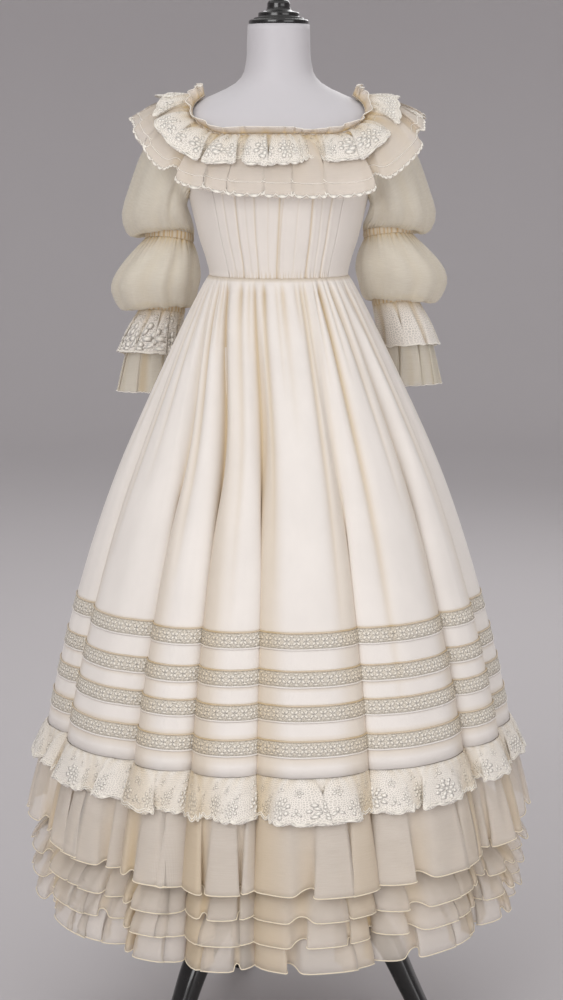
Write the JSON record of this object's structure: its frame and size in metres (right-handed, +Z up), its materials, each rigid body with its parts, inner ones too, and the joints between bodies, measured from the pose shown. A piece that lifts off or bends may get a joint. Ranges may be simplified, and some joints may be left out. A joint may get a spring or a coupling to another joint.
{
  "type": "lolita dress on a limbless dress form with a tripod stand",
  "caption": "Long tiered dress with a ruffled boat neck, puffed sleeves and lace-trimmed gathered skirt, worn by a white limbless dress form on a dark wooden tripod stand.",
  "frame": {"origin": "on the floor, below the middle of the object's outline, which is on the stand's pole to within 1 mm", "axes": "+Z up, the front of the dress faces -Y, the wearer's left side is at +X"},
  "size_m": [0.773, 0.72, 1.6363],
  "materials": {
    "cotton": "fine ivory cotton lawn, matt",
    "organza": "sheer cream organza, soft sheen",
    "sleeve_organza": "sheer cream-yellow organza, soft sheen",
    "lace": "white embroidered net lace, matt",
    "elastic": "narrow gathered elastic under cream cloth",
    "form": "smooth white cover, satin",
    "lacquered_wood": "black lacquered turned wood, gloss"
  },
  "bodies": {
    "root": {"form_torso": "form", "neck_cap": "lacquered_wood", "stand_pole": "lacquered_wood", "stand_hub": "lacquered_wood", "stand_leg_1": "lacquered_wood", "stand_leg_2": "lacquered_wood", "stand_leg_3": "lacquered_wood", "bodice_front": "cotton", "bodice_side_left": "cotton", "bodice_side_right": "cotton", "bodice_back_left": "cotton", "bodice_back_right": "cotton", "neck_casing": "organza", "neck_frill": "organza", "collar_lace_tier": "lace", "collar_sheer_tier": "organza", "sleeve_left_puff_upper": "sleeve_organza", "sleeve_left_band_upper": "elastic", "sleeve_left_puff_lower": "sleeve_organza", "sleeve_left_band_lower": "elastic", "sleeve_left_cuff_lace": "lace", "sleeve_left_cuff_sheer": "sleeve_organza", "sleeve_right_puff_upper": "sleeve_organza", "sleeve_right_band_upper": "elastic", "sleeve_right_puff_lower": "sleeve_organza", "sleeve_right_band_lower": "elastic", "sleeve_right_cuff_lace": "lace", "sleeve_right_cuff_sheer": "sleeve_organza", "skirt_front": "cotton", "skirt_back": "cotton", "insertion_lace_1": "lace", "insertion_lace_2": "lace", "insertion_lace_3": "lace", "insertion_lace_4": "lace", "hem_lace_flounce": "lace", "hem_sheer_flounce": "organza", "under_tier_1": "organza", "under_tier_2": "organza", "under_tier_3": "organza", "underskirt_upper": "cotton", "underskirt_lower": "cotton"}
  },
  "joints": []
}
